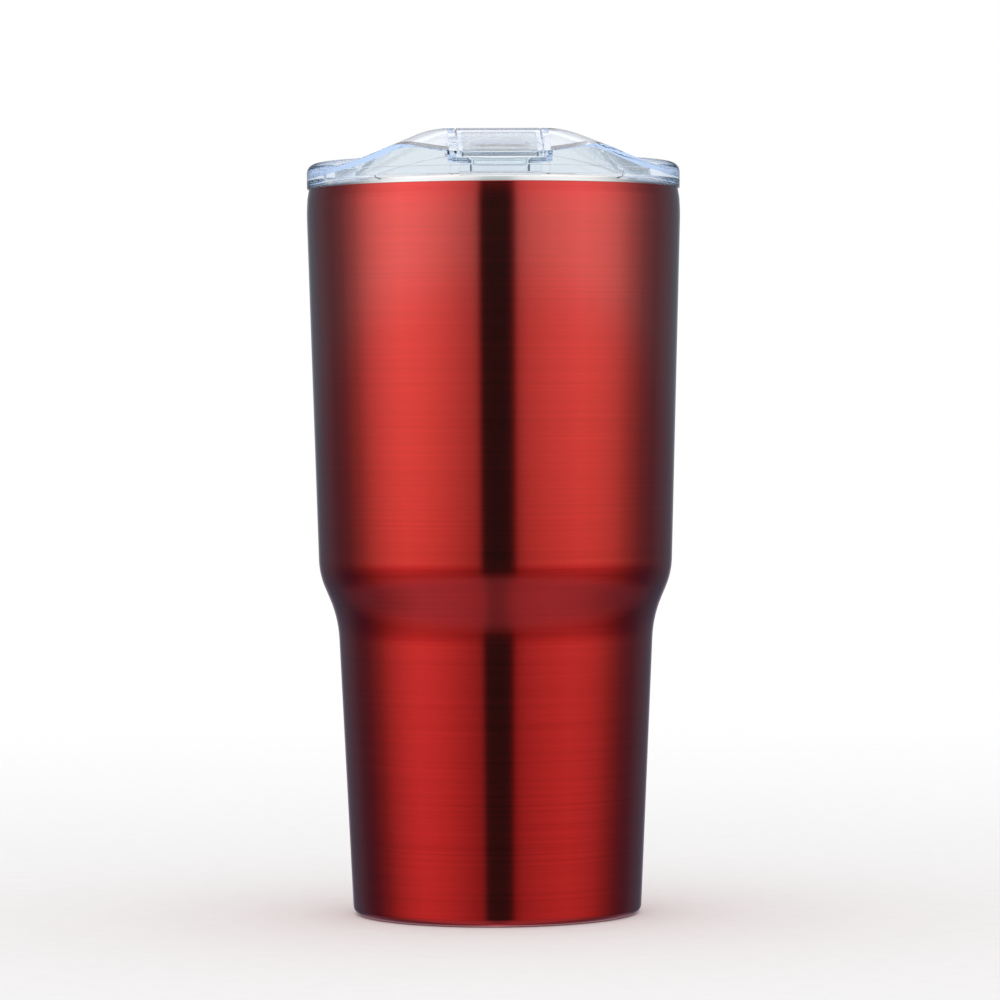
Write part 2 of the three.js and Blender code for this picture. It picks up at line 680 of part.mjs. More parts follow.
const sealUnder = solid(acrossX(tabSide(SEAL_DEPTH, deckBottom - 3, hingeY + 1), TAB_HALF + 2));
const sealTop = solid(acrossX(tabSide(padTop, deckBottom - 2, hingeY), TAB_HALF + 1));
const plug = sealTop.subtract(sealUnder).intersect(holeSlot(SEAL_CLEARANCE, deckBottom - 2, above));
add("tab_seal", geometryOf(slopeLayer(padTop, TAB_WALL, 0).add(plug)), SILICONE);

export default object;
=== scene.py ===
import math
import bpy
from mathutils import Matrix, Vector


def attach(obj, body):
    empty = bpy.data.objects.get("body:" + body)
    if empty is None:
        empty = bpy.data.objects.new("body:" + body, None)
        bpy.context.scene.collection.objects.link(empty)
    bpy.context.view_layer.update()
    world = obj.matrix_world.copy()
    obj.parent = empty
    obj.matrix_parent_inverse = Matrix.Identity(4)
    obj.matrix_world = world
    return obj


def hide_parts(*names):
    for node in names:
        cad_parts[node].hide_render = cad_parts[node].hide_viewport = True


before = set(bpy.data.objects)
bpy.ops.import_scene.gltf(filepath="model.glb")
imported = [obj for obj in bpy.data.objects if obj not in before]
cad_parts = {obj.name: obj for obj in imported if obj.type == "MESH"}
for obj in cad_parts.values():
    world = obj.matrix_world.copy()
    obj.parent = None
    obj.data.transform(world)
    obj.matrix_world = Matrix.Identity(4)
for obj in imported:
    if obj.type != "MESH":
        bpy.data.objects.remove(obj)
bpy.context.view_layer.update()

# ---- camera --------------------------------------------------------------------------------------
# A long lens about 1.2 m from the cup, level with its upper half and a little left of the spout.
# It looks level at the middle of the cup, so the upright sides stay upright.
camera_away = 1.2083
camera_height = 0.1303
camera_azimuth = math.radians(-2.3)
camera_roll = math.radians(0.33)
camera_data = bpy.data.cameras.new("camera")
camera_data.lens = 170.0
camera_data.sensor_width = 36.0
camera_data.clip_start = 0.05
camera_data.clip_end = 20.0
camera = bpy.data.objects.new("camera", camera_data)
bpy.context.scene.collection.objects.link(camera)
camera.location = (
    camera_away * math.sin(camera_azimuth), -camera_away * math.cos(camera_azimuth), camera_height)
aim = Vector((0.00125, 0.0, 0.1055)) - camera.location
camera.rotation_euler = aim.to_track_quat("-Z", "Y").to_euler()
camera.rotation_euler.rotate_axis("Z", -camera_roll)
bpy.context.scene.camera = camera
bpy.context.scene.view_settings.view_transform = "Standard"
bpy.context.scene.view_settings.look = "None"
bpy.context.scene.cycles.max_bounces = 32
bpy.context.scene.cycles.glossy_bounces = 24
bpy.context.scene.cycles.transmission_bounces = 32

# ---- studio --------------------------------------------------------------------------------------
# A white cove with a tall soft box on each side of the camera and a dark gap between them.
# Bare shiny surfaces see the boxes. Dull surfaces, and all that is seen through the clear lid, see the
# white cove.
world = bpy.data.worlds.new("studio")
bpy.context.scene.world = world
world.use_nodes = True
studio = world.node_tree
studio.nodes.clear()


def add(tree, kind, settings={}, values={}):
    """Adds a node, with its settings and the values of its sockets."""
    node = tree.nodes.new(kind)
    for key, value in settings.items():
        setattr(node, key, value)
    for key, value in values.items():
        node.inputs[key].default_value = value
    return node


def ramp(tree, stops, mode="LINEAR"):
    """Adds a colour ramp with grey or coloured stops."""
    node = tree.nodes.new("ShaderNodeValToRGB")
    node.color_ramp.interpolation = mode
    marks = node.color_ramp.elements
    while len(marks) > 1:
        marks.remove(marks[-1])
    for i, (place, shade) in enumerate(stops):
        mark = marks[0] if i == 0 else marks.new(place)
        mark.position = place
        mark.color = (*shade, 1.0) if isinstance(shade, tuple) else (shade, shade, shade, 1.0)
    return node


def join(tree, *pairs):
    """Links sockets, given as source node, its output, target node, its input."""
    for i in range(0, len(pairs), 4):
        tree.links.new(pairs[i].outputs[pairs[i + 1]], pairs[i + 2].inputs[pairs[i + 3]])


sky = add(studio, "ShaderNodeTexCoord")
turn_sky = add(studio, "ShaderNodeMapping", {"vector_type": "POINT"})
turn_sky.inputs["Rotation"].default_value = (0.0, 0.0, math.pi / 2 - camera_azimuth)
parts = add(studio, "ShaderNodeSeparateXYZ")
bearing = add(studio, "ShaderNodeMath", {"operation": "ARCTAN2"})
bearing_share = add(studio, "ShaderNodeMapRange", {}, {"From Min": -math.pi, "From Max": math.pi})
join(studio, sky, "Generated", turn_sky, "Vector", turn_sky, "Vector", parts, 0)
join(studio, parts, 1, bearing, 0, parts, 0, bearing, 1, bearing, 0, bearing_share, 0)


def at(degrees):
    """Place on the ramp of a bearing, counted from the camera, positive to the camera's right."""
    return 0.5 + degrees / 360.0


gap = (0.006, 0.018, 0.018)
gap_edge = (0.08, 0.09, 0.09)
boxes = ramp(studio, [
    (at(-180), 0.04), (at(-140), 0.04), (at(-120), 0.07), (at(-108), 0.14), (at(-96), 0.30),
    (at(-84), 0.60), (at(-72), 0.85), (at(-60), 1.0), (at(-48), 0.95), (at(-36), 0.82),
    (at(-24), 0.64), (at(-14), 0.47), (at(-10.5), 0.36), (at(-7.5), gap), (at(9), gap),
    (at(12), gap_edge), (at(15), 0.42), (at(22), 0.60), (at(36), 0.76), (at(56), 0.89),
    (at(70), 0.80), (at(82), 0.62), (at(94), 0.36), (at(106), 0.18), (at(120), 0.08),
    (at(140), 0.04), (at(180), 0.04)])
far_rim = (0.29, 0.27, 0.31)
rim = (0.17, 0.155, 0.185)
near_rim = (0.028, 0.052, 0.078)
rim_foot = (0.0, 0.012, 0.038)
gap_glow = (0.0, 0.035, 0.038)
rims = ramp(studio, [
    (at(-180), far_rim), (at(-172), rim), (at(-160), near_rim), (at(-136), near_rim),
    (at(-112), rim_foot), (at(-90), 0.0), (at(-16), 0.0), (at(-7), gap_glow), (at(9), gap_glow),
    (at(15), 0.0), (at(90), 0.0), (at(112), rim_foot), (at(136), near_rim), (at(160), near_rim),
    (at(172), rim), (at(180), far_rim)])
rise = ramp(studio, [
    (0.25, 0.0), (0.29, (0.14, 0.07, 0.07)), (0.35, (0.36, 0.16, 0.16)), (0.402, (0.42, 0.16, 0.18)),
    (0.4117, (0.50, 0.20, 0.22)), (0.4295, (0.58, 0.26, 0.25)), (0.4589, (0.80, 0.50, 0.42)),
    (0.4756, (0.77, 0.58, 0.51)), (0.4861, (0.82, 0.70, 0.64)), (0.4965, (1.05, 1.48, 1.38)),
    (0.52, (1.04, 1.42, 1.35)), (0.60, (1.0, 1.12, 1.12)), (0.72, (0.98, 1.0, 1.0)), (0.80, 0.40),
    (0.88, 0.0)])
rise_share = add(studio, "ShaderNodeMapRange", {}, {"From Min": -1.0, "From Max": 1.0})
overhead = ramp(studio, [(0.0, 0.0), (0.76, 0.0), (0.82, 0.80), (1.0, 0.85)])
table_glow = (0.36, 0.25, 0.30)
table_rise = ramp(studio, [(0.0, table_glow), (0.26, table_glow), (0.285, (0.33, 0.16, 0.17)), (0.34, 0.0)])
table_bearing = ramp(studio, [
    (at(-180), 0.5), (at(-140), 0.2), (at(-118), 0.28), (at(-98), 0.42), (at(-80), 0.74),
    (at(-62), 0.98), (at(-40), 0.92), (at(-20), 0.80), (at(-10), 0.66), (at(-5), 0.44), (at(0), 0.40),
    (at(7), 0.44), (at(14), 0.66), (at(22), 0.78), (at(45), 0.90), (at(67), 0.84), (at(84), 0.64),
    (at(104), 0.38), (at(126), 0.22), (at(180), 0.5)])
times = {"data_type": "RGBA", "blend_type": "MULTIPLY"}
plus = {"data_type": "RGBA", "blend_type": "ADD"}
lit = add(studio, "ShaderNodeMix", times, {0: 1.0})
table_light = add(studio, "ShaderNodeMix", times, {0: 1.0})
low_light = add(studio, "ShaderNodeMix", plus, {0: 1.0})
side_light = add(studio, "ShaderNodeMix", plus, {0: 1.0})
all_light = add(studio, "ShaderNodeMix", plus, {0: 1.0})
join(studio, parts, 2, rise_share, 0)
for climbing in (rise, table_rise, overhead):
    join(studio, rise_share, 0, climbing, "Fac")
for turning in (boxes, rims, table_bearing):
    join(studio, bearing_share, 0, turning, "Fac")
join(studio, boxes, "Color", lit, 6, rise, "Color", lit, 7)
join(studio, table_rise, "Color", table_light, 6, table_bearing, "Color", table_light, 7)
join(studio, lit, 2, low_light, 6, table_light, 2, low_light, 7)
join(studio, low_light, 2, side_light, 6, rims, "Color", side_light, 7)
join(studio, side_light, 2, all_light, 6, overhead, "Color", all_light, 7)
gloss_light = add(studio, "ShaderNodeBackground", {}, {"Strength": 1.32})
room_light = add(studio, "ShaderNodeBackground", {}, {"Color": (1.0, 1.0, 1.0, 1.0), "Strength": 1.0})
path = add(studio, "ShaderNodeLightPath")
through = add(studio, "ShaderNodeMath", {"operation": "SUBTRACT", "use_clamp": True})
which = add(studio, "ShaderNodeMixShader")
world_out = add(studio, "ShaderNodeOutputWorld")
join(studio, all_light, 2, gloss_light, "Color", path, "Is Glossy Ray", through, 0)
join(studio, path, "Transmission Depth", through, 1, through, 0, which, 0)
join(studio, room_light, 0, which, 1, gloss_light, 0, which, 2, which, 0, world_out, 0)

# ---- floor ---------------------------------------------------------------------------------------
# A pale table that runs out into the white of the cove. Not part of the cup.
bpy.ops.object.select_all(action="DESELECT")
bpy.ops.mesh.primitive_circle_add(vertices=96, radius=1.6, fill_type="NGON", location=(0, 0, -0.0002))
floor = bpy.context.object
floor.name = "table_top"
table = bpy.data.materials.new("table_top")
floor.data.materials.append(table)
table.use_nodes = True
tree = table.node_tree
tree.nodes.clear()
place = add(tree, "ShaderNodeTexCoord")
reach = add(tree, "ShaderNodeVectorMath", {"operation": "LENGTH"})
fade = ramp(tree, [(0.0, 0.0), (0.20, 0.0), (0.75, 1.0)], "EASE")
fibre = add(tree, "ShaderNodeTexNoise", {}, {"Scale": 160.0, "Detail": 4.0})
pale = ramp(tree, [(0.3, 0.93), (0.7, 0.95)])
paper = add(tree, "ShaderNodeBsdfDiffuse")
clear = add(tree, "ShaderNodeBsdfTransparent")
edge = add(tree, "ShaderNodeMixShader")
out = add(tree, "ShaderNodeOutputMaterial")
join(tree, place, "Object", reach, 0, reach, "Value", fade, "Fac", place, "Object", fibre, "Vector")
join(tree, fibre, "Fac", pale, "Fac", pale, "Color", paper, "Color")
join(tree, fade, "Color", edge, 0, paper, 0, edge, 1, clear, 0, edge, 2, edge, 0, out, 0)
floor.visible_glossy = False

# ---- outer shell ---------------------------------------------------------------------------------
# One drawn steel sheet: wide above, stepped in at the grip, its foot turned in under the cup.
# Brushed round and round on a lathe, then coated with a clear red lacquer.
mouth_radius = 47.7
cup_height = 187.0
lip_height = 1.95
shell_top = cup_height - lip_height - 0.05
foot_radius = 36.8
foot_inner = foot_radius - 3.8
shoulder_radius = 40.3
shoulder_height = 75.6
shoulder_top_radius = 45.05
shoulder_top = 86.8
lip_outside = mouth_radius - 0.75
shell_wall = 0.6


def rounded(corners, turn_step=7.0):
    """Outline through corners given as (x, y) or (x, y, fillet), with each fillet as an arc."""
    points = []
    for i, (x, y, *fillet) in enumerate(corners):
        here = Vector((x, y))
        if not fillet or fillet[0] <= 0:
            points.append(here)
            continue
        inward = Vector(corners[i - 1][:2]) - here
        outward = Vector(corners[(i + 1) % len(corners)][:2]) - here
        room = 0.49 * min(inward.length, outward.length)
        inward.normalize()
        outward.normalize()
        half = inward.angle(outward) / 2
        tangent = min(fillet[0] / math.tan(half), room)
        radius = tangent * math.tan(half)
        centre = here + (inward + outward).normalized() * (radius / math.sin(half))
        first = here + inward * tangent - centre
        last = here + outward * tangent - centre
        swing = math.atan2(first.x * last.y - first.y * last.x, first.dot(last))
        steps = max(2, math.ceil(abs(math.degrees(swing)) / turn_step))
        for k in range(steps + 1):
            a = swing * k / steps
            spoke = Vector((first.x * math.cos(a) - first.y * math.sin(a),
                            first.x * math.sin(a) + first.y * math.cos(a)))
            points.append(centre + spoke)
    return points


def draw(name, places):
    """Draws a chain of edges through places in millimetres and leaves it in edit mode, all selected."""
    metres = [Vector(p) * 0.001 for p in places]
    bpy.ops.object.select_all(action="DESELECT")
    bpy.ops.mesh.primitive_plane_add(size=0.001)
    piece = bpy.context.object
    piece.name = name
    piece.data.name = name
    bpy.ops.object.mode_set(mode="EDIT")
    bpy.ops.mesh.select_all(action="SELECT")
    bpy.ops.mesh.merge(type="CENTER")
    bpy.ops.transform.translate(value=metres[0])
    for before, after in zip(metres, metres[1:]):
        bpy.ops.mesh.extrude_vertices_move(TRANSFORM_OT_translate={"value": after - before})
    bpy.ops.mesh.select_all(action="SELECT")
    return piece


def turn(name, outline, ring=True, around=256, centre=(0.0, 0.0)):
    """Spins an outline of (radius, height) about an upright axis. A ring closes on itself."""
    chain = [(centre[0] + p[0], centre[1], p[1]) for p in outline]
    piece = draw(name, chain + chain[:1] if ring else chain)
    middle = (centre[0] * 0.001, centre[1] * 0.001, 0.0)
    bpy.ops.mesh.spin(steps=around, angle=2 * math.pi, center=middle, axis=(0, 0, 1))
    bpy.ops.mesh.select_all(action="SELECT")
    bpy.ops.mesh.remove_doubles(threshold=2e-6)
    bpy.ops.mesh.normals_make_consistent(inside=False)
    bpy.ops.object.mode_set(mode="OBJECT")
    return piece


def finish_piece(piece, material, body, slot, *nodes, smooth=30):
    """Smooths a piece, gives it its material and ties it to the CAD."""
    bpy.ops.object.select_all(action="DESELECT")
    piece.select_set(True)
    bpy.context.view_layer.objects.active = piece
    bpy.ops.object.shade_smooth_by_angle(angle=math.radians(smooth))
    piece.data.materials.clear()
    piece.data.materials.append(material)
    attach(piece, body)
    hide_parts(*nodes)


def side(inset):
    """Corners of the cup's side, shoulder to mouth, moved in by an inset."""
    return [(shoulder_radius - inset, shoulder_height, 30 + inset),
            (shoulder_top_radius - inset, shoulder_top, 20 - inset),
            (mouth_radius - inset, shell_top - 6, 60 - inset),
            (mouth_radius - 0.2 - inset, shell_top - 2.4, 6 - inset)]


shell_lip = lip_outside + 0.15
shell_outline = rounded([
    (foot_inner, 0.0), (foot_radius, 0.0, 2.2), *side(0), (shell_lip, shell_top, 0.15),
    (shell_lip - shell_wall, shell_top, 0.15), *reversed(side(shell_wall)),
    (foot_radius - shell_wall, shell_wall, 1.6), (foot_inner + shell_wall, shell_wall, 0.2),
    (foot_inner + shell_wall, 3.0), (foot_inner, 3.0)], 3.0)
cup_shell = turn("cup_shell", shell_outline)

red_lacquer = bpy.data.materials.new("red_lacquer")
red_lacquer.use_nodes = True
tree = red_lacquer.node_tree
gloss = tree.nodes["Principled BSDF"]
place = add(tree, "ShaderNodeTexCoord")
stretch = add(tree, "ShaderNodeMapping", {}, {"Scale": (14.0, 14.0, 5200.0)})
fine_brush = add(tree, "ShaderNodeTexNoise", {}, {"Scale": 1.0, "Detail": 3.0, "Roughness": 0.6})
wide = add(tree, "ShaderNodeMapping", {}, {"Scale": (10.0, 10.0, 1700.0)})
wide_brush = add(tree, "ShaderNodeTexNoise", {}, {"Scale": 1.0, "Detail": 2.0, "Roughness": 0.5})
both = add(tree, "ShaderNodeMix", {"data_type": "FLOAT"}, {0: 0.4})
tint = ramp(tree, [(0.35, (0.625, 0.023, 0.018)), (0.65, (0.725, 0.030, 0.025))])
rough = ramp(tree, [(0.3, 0.15), (0.7, 0.20)])
grooves = add(tree, "ShaderNodeBump", {}, {"Strength": 0.10, "Distance": 0.00002})
lathe_grain = add(tree, "ShaderNodeTangent", {"direction_type": "RADIAL", "axis": "Z"})
join(tree, place, "Object", stretch, 0, stretch, 0, fine_brush, "Vector", place, "Object", wide, 0)
join(tree, wide, 0, wide_brush, "Vector", fine_brush, "Fac", both, 2, wide_brush, "Fac", both, 3)
join(tree, both, 0, tint, "Fac", tint, "Color", gloss, "Base Color", both, 0, rough, "Fac")
join(tree, rough, "Color", gloss, "Roughness", both, 0, grooves, "Height", grooves, 0, gloss, "Normal")
join(tree, lathe_grain, 0, gloss, "Tangent")
gloss.inputs["Metallic"].default_value = 1.0
gloss.inputs["Anisotropic"].default_value = 0.9
gloss.inputs["Anisotropic Rotation"].default_value = 0.25
gloss.inputs["Coat Weight"].default_value = 1.0
gloss.inputs["Coat Roughness"].default_value = 0.04
gloss.inputs["Coat IOR"].default_value = 1.5
finish_piece(cup_shell, red_lacquer, "cup", "red_lacquered_steel", "outer_shell")

# ---- liner ---------------------------------------------------------------------------------------
# The inner wall of bare stainless steel. Its top is rolled out over the shell's edge, welded to it
# and polished, so that the lip shows bright under the lid.
liner_wall = 0.5
liner_inset = 3.8
bore_radius = mouth_radius - liner_inset
lip_top_radius = lip_outside - 0.55
seam_height = 20.0
floor_height = 9.0


def liner_radius(height):
    """Inside radius of the liner below the shoulder."""
    return foot_radius + (shoulder_radius - foot_radius) * height / shoulder_height - liner_inset


def liner_side(inset):
    """Corners of the liner from its floor seam to the straight seat of the lid."""
    low, high, *_ = side(liner_inset - inset)
    return [(liner_radius(seam_height) + inset, seam_height), low, high,
            (bore_radius + inset, cup_height - 19, 8)]


liner_outline = rounded([
    *liner_side(liner_wall), (bore_radius + liner_wall, cup_height - liner_wall, 0.5),
    (lip_top_radius - liner_wall, cup_height - liner_wall, 1.3),
    (lip_outside - liner_wall, cup_height - lip_height), (lip_outside, cup_height - lip_height),
    (lip_top_radius, cup_height, 1.8), (bore_radius, cup_height, 1.0),
    *reversed(liner_side(0))], 5.0)
cup_liner = turn("cup_liner", liner_outline)

bare_steel = bpy.data.materials.new("bare_steel")
bare_steel.use_nodes = True
tree = bare_steel.node_tree
gloss = tree.nodes["Principled BSDF"]
place = add(tree, "ShaderNodeTexCoord")
height = add(tree, "ShaderNodeSeparateXYZ")
stretch = add(tree, "ShaderNodeMapping", {}, {"Scale": (20.0, 20.0, 3800.0)})
brush = add(tree, "ShaderNodeTexNoise", {}, {"Scale": 1.0, "Detail": 4.0, "Roughness": 0.65})
tint = ramp(tree, [(0.3, (0.84, 0.835, 0.83)), (0.7, (0.92, 0.915, 0.91))])
polish = add(tree, "ShaderNodeMapRange", {}, {
    "From Min": 0.1840, "From Max": 0.1855, "To Min": 0.32, "To Max": 0.14})
grain = add(tree, "ShaderNodeMath", {"operation": "MULTIPLY_ADD"}, {1: 0.08})
grooves = add(tree, "ShaderNodeBump", {}, {"Strength": 0.12, "Distance": 0.00002})
lathe_grain = add(tree, "ShaderNodeTangent", {"direction_type": "RADIAL", "axis": "Z"})
join(tree, place, "Object", stretch, 0, stretch, 0, brush, "Vector", place, "Object", height, 0)
join(tree, height, 2, polish, 0, brush, "Fac", grain, 0, polish, 0, grain, 2, grain, 0, gloss, "Roughness")
join(tree, brush, "Fac", tint, "Fac", tint, "Color", gloss, "Base Color")
join(tree, brush, "Fac", grooves, "Height", grooves, 0, gloss, "Normal", lathe_grain, 0, gloss, "Tangent")
gloss.inputs["Metallic"].default_value = 1.0
gloss.inputs["Anisotropic"].default_value = 0.5
gloss.inputs["Anisotropic Rotation"].default_value = 0.25
finish_piece(cup_liner, bare_steel, "cup", "bare_steel", "liner")

# ---- liner floor ---------------------------------------------------------------------------------
# A pressed bowl of the same steel, welded to the wall inside. It closes the inner vessel and stands
# clear of the base plate, so that no heat crosses between them.
floor_rim = seam_height - 0.05
floor_outline = rounded([
    (0.0, floor_height - liner_wall),
    (liner_radius(floor_height) + liner_wall, floor_height - liner_wall, 9.5),
    (liner_radius(floor_rim) + liner_wall, floor_rim), (liner_radius(floor_rim), floor_rim),
    (liner_radius(floor_height), floor_height, 9.0), (0.0, floor_height)], 5.0)
cup_floor = turn("cup_floor", floor_outline, ring=False)
finish_piece(cup_floor, bare_steel, "cup", "bare_steel", "liner_floor")

# ---- base cover ----------------------------------------------------------------------------------
# A thin dished steel disc with one pressed ridge, glued in the recess of the foot.
# It hides the sealed pump-out hole.
cover_radius = foot_inner - 0.15
cover_outline = rounded([
    (0.0, 0.8), (cover_radius - 5.5, 0.8, 0.5), (cover_radius - 4.6, 1.15, 0.5),
    (cover_radius - 3.4, 1.15, 0.5), (cover_radius - 2.6, 0.8, 0.5), (cover_radius, 0.8, 1.0),
    (cover_radius, 2.7), (cover_radius - 0.6, 2.7),
    (cover_radius - 0.6, 1.4, 0.4), (cover_radius - 2.6, 1.4, 0.3), (cover_radius - 3.4, 1.75, 0.3),
    (cover_radius - 4.6, 1.75, 0.3), (cover_radius - 5.5, 1.4, 0.3), (0.0, 1.4)], 15.0)
bottom_cover = turn("bottom_cover", cover_outline, ring=False)
finish_piece(bottom_cover, bare_steel, "cup", "bare_steel", "base_cover")

# ---- parts sealed in the vacuum ------------------------------------------------------------------
# The welded base plate, the bead that seals its pump-out hole, the getter in its cup, and the foil
# wrapped round the liner. They keep their CAD shapes and get their finishes.
copper_foil = bpy.data.materials.new("copper_foil")
copper_foil.use_nodes = True
tree = copper_foil.node_tree
gloss = tree.nodes["Principled BSDF"]
place = add(tree, "ShaderNodeTexCoord")
creases_and_painted_shade = add(tree, "ShaderNodeTexVoronoi", {"feature": "DISTANCE_TO_EDGE"}, {"Scale": 140.0})
# The foil's colour darkens towards the crease lines: painted shade in the creases. The same lines also drive
# the real wrinkle bump.
tint = ramp(tree, [(0.0, (0.62, 0.27, 0.14)), (0.3, (0.80, 0.40, 0.24))])
wrinkle = add(tree, "ShaderNodeBump", {}, {"Strength": 0.4, "Distance": 0.0002})
join(tree, place, "Object", creases_and_painted_shade, "Vector", creases_and_painted_shade, "Distance", tint, "Fac")
join(tree, tint, "Color", gloss, "Base Color")
join(tree, creases_and_painted_shade, "Distance", wrinkle, "Height", wrinkle, 0, gloss, "Normal")
gloss.inputs["Metallic"].default_value = 1.0
gloss.inputs["Roughness"].default_value = 0.28

solder_glass = bpy.data.materials.new("solder_glass")
solder_glass.use_nodes = True
tree = solder_glass.node_tree
gloss = tree.nodes["Principled BSDF"]
place = add(tree, "ShaderNodeTexCoord")
swirl = add(tree, "ShaderNodeTexNoise", {}, {"Scale": 700.0, "Detail": 3.0})
tint = ramp(tree, [(0.3, (0.03, 0.035, 0.035)), (0.7, (0.09, 0.10, 0.10))])
join(tree, place, "Object", swirl, "Vector", swirl, "Fac", tint, "Fac", tint, "Color", gloss, "Base Color")
gloss.inputs["Roughness"].default_value = 0.12

getter_powder = bpy.data.materials.new("getter_powder")
getter_powder.use_nodes = True
tree = getter_powder.node_tree
gloss = tree.nodes["Principled BSDF"]
place = add(tree, "ShaderNodeTexCoord")
grains = add(tree, "ShaderNodeTexNoise", {}, {"Scale": 2600.0, "Detail": 2.0})
tint = ramp(tree, [(0.3, (0.16, 0.16, 0.155)), (0.7, (0.32, 0.32, 0.31))])
pits = add(tree, "ShaderNodeBump", {}, {"Strength": 0.5, "Distance": 0.0001})
join(tree, place, "Object", grains, "Vector", grains, "Fac", tint, "Fac", tint, "Color", gloss, "Base Color")
join(tree, grains, "Fac", pits, "Height", pits, 0, gloss, "Normal")
gloss.inputs["Metallic"].default_value = 0.6
gloss.inputs["Roughness"].default_value = 0.75

sealed_in = {
    "heat_foil": copper_foil, "base_plate": bare_steel, "pump_hole_bead": solder_glass,
    "getter_cup": bare_steel, "getter_pellet": getter_powder}
for hidden, finish in sealed_in.items():
    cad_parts[hidden].data.materials.clear()
    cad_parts[hidden].data.materials.append(finish)

# ---- lid body ------------------------------------------------------------------------------------
# One clear moulding: a ring that sits on the steel lip, a plug inside the mouth, a recessed deck, and
# a raised hollow spout with a channel for the flip tab. A shallow lip recess is cut in the ring's front.
lid_radius = mouth_radius - 0.1
ring_top = cup_height + 4.5
ring_seat = cup_height + 0.1
skirt_bottom = cup_height - 1.9
deck_top = ring_top - 2.0
deck_bottom = deck_top - 2.0
plug_radius = bore_radius - 0.9
plug_bottom = cup_height - 12.5
plug_wall = 2.4
plug_inside = plug_radius - plug_wall
groove_radius = plug_radius - 1.0
groove_bottom = cup_height - 9.4
spout_rise = 7.4
spout_top = ring_top + spout_rise
spout_top_half = 17.0
spout_foot_half = 32.5
spout_crest = 44.6
spout_back_length = 21.0
slope_length = 17.2
slope_foot = ring_top + 0.3
slope_rise = (spout_top - slope_foot) / slope_length
spout_wall = 1.8
tab_half = 10.35
tab_wall = 2.0
channel_depth = tab_wall + 0.35
channel_half = tab_half + 0.45
hinge_y = 41.6 - lid_radius
hinge_z = spout_top - 1.8
hole_y = 9.1 - lid_radius
above = spout_top + 5


def slab(name, outline, way, low, high):
    """Fills an outline and extrudes it along x (outline of y, z), y (of x, z) or z (of x, y)."""
    axis = "xyz".index(way)
    piece = draw(name, [(*p[:axis], low, *p[axis:]) for p in outline])
    bpy.ops.mesh.edge_face_add()
    push = {"x": (1, 0, 0), "y": (0, 1, 0), "z": (0, 0, 1)}[way]
    bpy.ops.mesh.extrude_region_move(TRANSFORM_OT_translate={"value": Vector(push) * (high - low) * 0.001})
    bpy.ops.mesh.select_all(action="SELECT")
    bpy.ops.mesh.normals_make_consistent(inside=False)
    bpy.ops.object.mode_set(mode="OBJECT")
    return piece


def combine(piece, tool, how):
    """Joins, cuts or meets a piece with a tool, and throws the tool away."""
    bpy.ops.object.select_all(action="DESELECT")
    bpy.context.view_layer.objects.active = piece
    piece.select_set(True)
    step = piece.modifiers.new("combine", "BOOLEAN")
    step.operation = how
    step.solver = "MANIFOLD"
    step.object = tool
    bpy.ops.object.modifier_apply(modifier=step.name)
    bpy.data.objects.remove(tool, do_unlink=True)
    return piece


def core_of(radius, bottom, top):
    """A round core on the cup's axis."""
    return turn("tool", [(0, bottom), (radius, bottom), (radius, top), (0, top)], ring=False, around=192)


def blend(first, second, softness):
    """The lower of two heights, with a soft turn from one to the other."""
    share = max(softness - abs(first - second), 0.0) / softness
    return min(first, second) - share * share * softness / 4


def spout_height(x, y, inset):
    """Height of the spout's skin: a flat top, a front and a back slope, and two flanks."""
    from_front = y + lid_radius
    flank_rise = spout_rise / (spout_foot_half - spout_top_half)
    back_rise = (spout_top - deck_top) / spout_back_length
    front = slope_foot + slope_rise * from_front - inset * math.hypot(1, slope_rise)
    back = spout_top - back_rise * (from_front - spout_crest) - inset * math.hypot(1, back_rise)
    flank = spout_top - flank_rise * (abs(x) - spout_top_half) - inset * math.hypot(1, flank_rise)
    skirt = ring_top - 0.28 * (abs(x) - spout_foot_half - 0.8) - inset * 1.04
    flank = -blend(-flank, -skirt, 1.2)
    over = blend(blend(spout_top - inset, flank, 1.7), back, 1.2)
    beside_tab = max(abs(x) - tab_half - 1, 0.0)
    return blend(over, front, min(0.75 + 0.3 * beside_tab, 2.6))


def spout_block(inset, core):
    """The space under the spout's skin, inside a round core."""
    bpy.ops.object.select_all(action="DESELECT")
    bpy.ops.mesh.primitive_grid_add(x_subdivisions=100, y_subdivisions=74, size=0.1, location=(0, -0.013, 0))
    block = bpy.context.object
    bpy.ops.object.mode_set(mode="EDIT")
    bpy.ops.transform.resize(value=(1.0, 0.74, 1.0))
    bpy.ops.object.mode_set(mode="OBJECT")
    bpy.ops.object.transform_apply(location=True, rotation=True, scale=True)
    for vertex in block.data.vertices:
        skin = spout_height(vertex.co.x * 1000, vertex.co.y * 1000, inset)
        vertex.co.z = max(skin, deck_bottom - 4.0) * 0.001
    bpy.ops.object.mode_set(mode="EDIT")
    bpy.ops.mesh.select_all(action="SELECT")
    bpy.ops.mesh.quads_convert_to_tris()
    bpy.ops.mesh.extrude_region_move(TRANSFORM_OT_translate={"value": (0, 0, -0.04)})
    bpy.ops.mesh.select_all(action="SELECT")
    bpy.ops.mesh.normals_make_consistent(inside=False)
    bpy.ops.object.mode_set(mode="OBJECT")
    return combine(block, core, "INTERSECT")


def channel_block(depth, half):
    """The space over the tab's channel floor, and over the pocket behind the hinge."""
    lower = depth * math.hypot(1, slope_rise)
    crest = slope_length - lid_radius + (lower - depth) / slope_rise
    pocket = hinge_z - 2.2 - (depth - channel_depth)
    pocket_front = hinge_y - 3.0 - (depth - channel_depth)
    return slab("tool", rounded([
        (-lid_radius - 1, slope_foot - lower - slope_rise), (crest, spout_top - depth, 9),
        (pocket_front, spout_top - depth, 0.6), (pocket_front, pocket, 0.6), (20, pocket), (20, above),
        (-lid_radius - 1, above)], 5), "x", -half, half)


